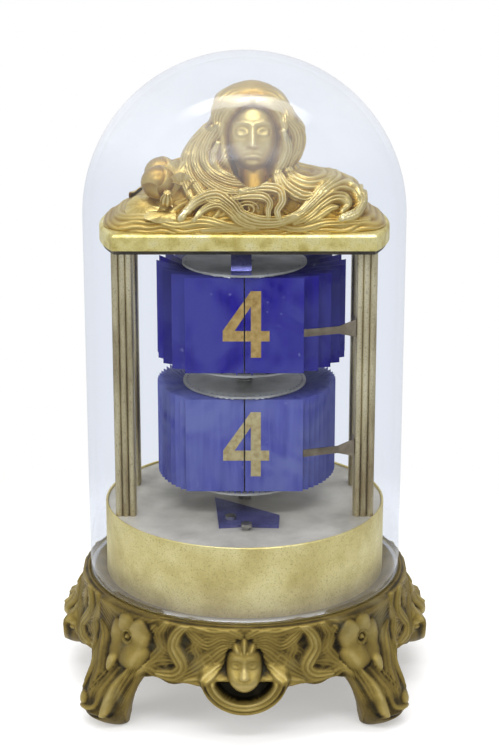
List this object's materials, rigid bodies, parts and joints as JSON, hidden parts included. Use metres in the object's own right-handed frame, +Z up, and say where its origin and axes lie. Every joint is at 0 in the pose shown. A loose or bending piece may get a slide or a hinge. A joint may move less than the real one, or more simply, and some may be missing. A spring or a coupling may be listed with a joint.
{
  "type": "flip clock",
  "caption": "Domed mantel flip clock: two stacked number drums with hinged leaves in a column frame with a gilt bust, on a cast base under a lift-off glass dome.",
  "frame": {"origin": "on the surface that the clock stands on, under its centre axis", "axes": "+Z up along the drums' axis; the numbers face -Y; +X is to the right of someone reading the clock"},
  "size_m": [0.114, 0.114, 0.1939],
  "materials": {
    "base_bronze": "antique dark gilt casting",
    "case_brass": "speckled lacquered brass",
    "plate_brass": "dull greyed brass",
    "column_brass": "aged reeded brass",
    "gilt": "mottled gilt casting",
    "dark_plate": "dark japanned sheet",
    "screw_steel": "turned steel",
    "arbor_steel": "polished steel",
    "train_brass": "cut brass",
    "drum_metal": "dull grey plated metal",
    "leaf_blue": "glossy celluloid sheet",
    "finger_brass": "dull sheet brass",
    "blued_steel": "blued steel",
    "glass": "clear blown glass"
  },
  "bodies": {
    "clock_frame": {"base_casting": "base_bronze", "case_drum": "case_brass", "base_screws": "screw_steel", "bottom_cover": "plate_brass", "top_plate": "plate_brass", "lower_plate": "plate_brass", "plate_pillars": "plate_brass", "pillar_screws": "screw_steel", "front_left_column": "column_brass", "front_right_column": "column_brass", "rear_left_column": "column_brass", "rear_right_column": "column_brass", "column_screws": "screw_steel", "frame_plate": "dark_plate", "cornice": "gilt", "figure_casting": "gilt", "figure_screws": "screw_steel", "top_bush": "column_brass", "hour_finger": "finger_brass", "minute_finger": "finger_brass", "finger_screws": "screw_steel", "lever_screws": "screw_steel", "drum_brake": "blued_steel", "shoulder_screws": "screw_steel"},
    "minute_drum": {"minute_discs": "drum_metal", "minute_hub": "drum_metal", "minute_leaves_turned": "leaf_blue", "minute_leaves_waiting": "leaf_blue", "minute_pipe": "arbor_steel", "centre_wheel": "train_brass"},
    "minute_leaf": {"minute_leaf_falling": "leaf_blue"},
    "hour_drum": {"hour_discs": "drum_metal", "hour_hub": "drum_metal", "hour_leaves_turned": "leaf_blue", "hour_leaves_waiting": "leaf_blue", "hour_arbor": "arbor_steel", "hour_wheel": "train_brass"},
    "hour_leaf": {"hour_leaf_falling": "leaf_blue"},
    "setting_work": {"motion_wheel": "train_brass", "setting_arbor": "arbor_steel", "setting_knob": "train_brass"},
    "spring_barrel": {"barrel": "train_brass", "barrel_lid": "train_brass", "mainspring": "arbor_steel"},
    "winder": {"winding_arbor": "arbor_steel", "ratchet_wheel": "arbor_steel", "winding_key": "train_brass"},
    "click": {"click": "arbor_steel"},
    "third_wheel": {"third_arbor": "arbor_steel", "third_wheel": "train_brass"},
    "escape_wheel": {"escape_arbor": "arbor_steel", "escape_wheel": "train_brass"},
    "pallet_lever": {"pallet_lever": "arbor_steel"},
    "balance": {"balance_staff": "arbor_steel", "balance_wheel": "train_brass", "hairspring": "arbor_steel"},
    "regulator": {"regulator": "arbor_steel"},
    "stop_lever": {"stop_lever": "blued_steel"},
    "dome": {"glass_dome": "glass"}
  },
  "joints": [
    {"name": "minute_spin", "type": "hinge", "parent": "clock_frame", "child": "minute_drum", "pos_m": [0, 0, 0.0788], "axis": [0, 0, -1], "continuous": true, "deforming": ["minute_finger"]},
    {"name": "hour_spin", "type": "hinge", "parent": "clock_frame", "child": "hour_drum", "pos_m": [0, 0, 0.116], "axis": [0, 0, -1], "continuous": true, "deforming": ["hour_finger"]},
    {"name": "minute_leaf_flip", "type": "hinge", "parent": "minute_drum", "child": "minute_leaf", "pos_m": [0.00092, -0.01758, 0.0788], "axis": [0, 0, -1], "range_deg": [0, 165]},
    {"name": "hour_leaf_flip", "type": "hinge", "parent": "hour_drum", "child": "hour_leaf", "pos_m": [0.0023, -0.01745, 0.116], "axis": [0, 0, -1], "range_deg": [0, 165]},
    {"name": "setting_spin", "type": "hinge", "parent": "clock_frame", "child": "setting_work", "pos_m": [0, -0.012, 0.041], "axis": [0, 0, -1], "continuous": true},
    {"name": "barrel_spin", "type": "hinge", "parent": "clock_frame", "child": "spring_barrel", "pos_m": [-0.018, 0, 0.046], "axis": [0, 0, -1], "continuous": true},
    {"name": "winding_spin", "type": "hinge", "parent": "clock_frame", "child": "winder", "pos_m": [-0.018, 0, 0.037], "axis": [0, 0, -1], "continuous": true},
    {"name": "click_lift", "type": "hinge", "parent": "clock_frame", "child": "click", "pos_m": [-0.018, 0.0135, 0.037], "axis": [0, 0, 1], "range_deg": [0, 12]},
    {"name": "third_spin", "type": "hinge", "parent": "clock_frame", "child": "third_wheel", "pos_m": [0.01114, 0.01114, 0.046], "axis": [0, 0, -1], "continuous": true},
    {"name": "escape_spin", "type": "hinge", "parent": "clock_frame", "child": "escape_wheel", "pos_m": [0.01857, -0.00175, 0.047], "axis": [0, 0, -1], "continuous": true},
    {"name": "pallet_rock", "type": "hinge", "parent": "clock_frame", "child": "pallet_lever", "pos_m": [0.02027, -0.01079, 0.048], "axis": [0, 0, 1], "range_deg": [-5, 5]},
    {"name": "balance_swing", "type": "hinge", "parent": "clock_frame", "child": "balance", "pos_m": [0.022, -0.02, 0.05], "axis": [0, 0, 1], "range_deg": [-135, 135]},
    {"name": "regulator_turn", "type": "hinge", "parent": "clock_frame", "child": "regulator", "pos_m": [0.022, -0.02, 0.037], "axis": [0, 0, 1], "range_deg": [-15, 15]},
    {"name": "stop_lever_turn", "type": "hinge", "parent": "clock_frame", "child": "stop_lever", "pos_m": [-0.0042, -0.0205, 0.0561], "axis": [0, 0, 1], "range_deg": [-6, 6]},
    {"name": "dome_lift", "type": "slide", "parent": "clock_frame", "child": "dome", "axis": [0, 0, 1], "range_m": [0, 0.165]}
  ],
  "couplings": [
    {"joint": "hour_spin", "follows": "minute_spin", "ratio": 0.083333},
    {"joint": "setting_spin", "follows": "minute_spin", "ratio": -0.33333},
    {"joint": "barrel_spin", "follows": "minute_spin", "ratio": -0.2},
    {"joint": "third_spin", "follows": "minute_spin", "ratio": -8},
    {"joint": "escape_spin", "follows": "minute_spin", "ratio": 60}
  ]
}
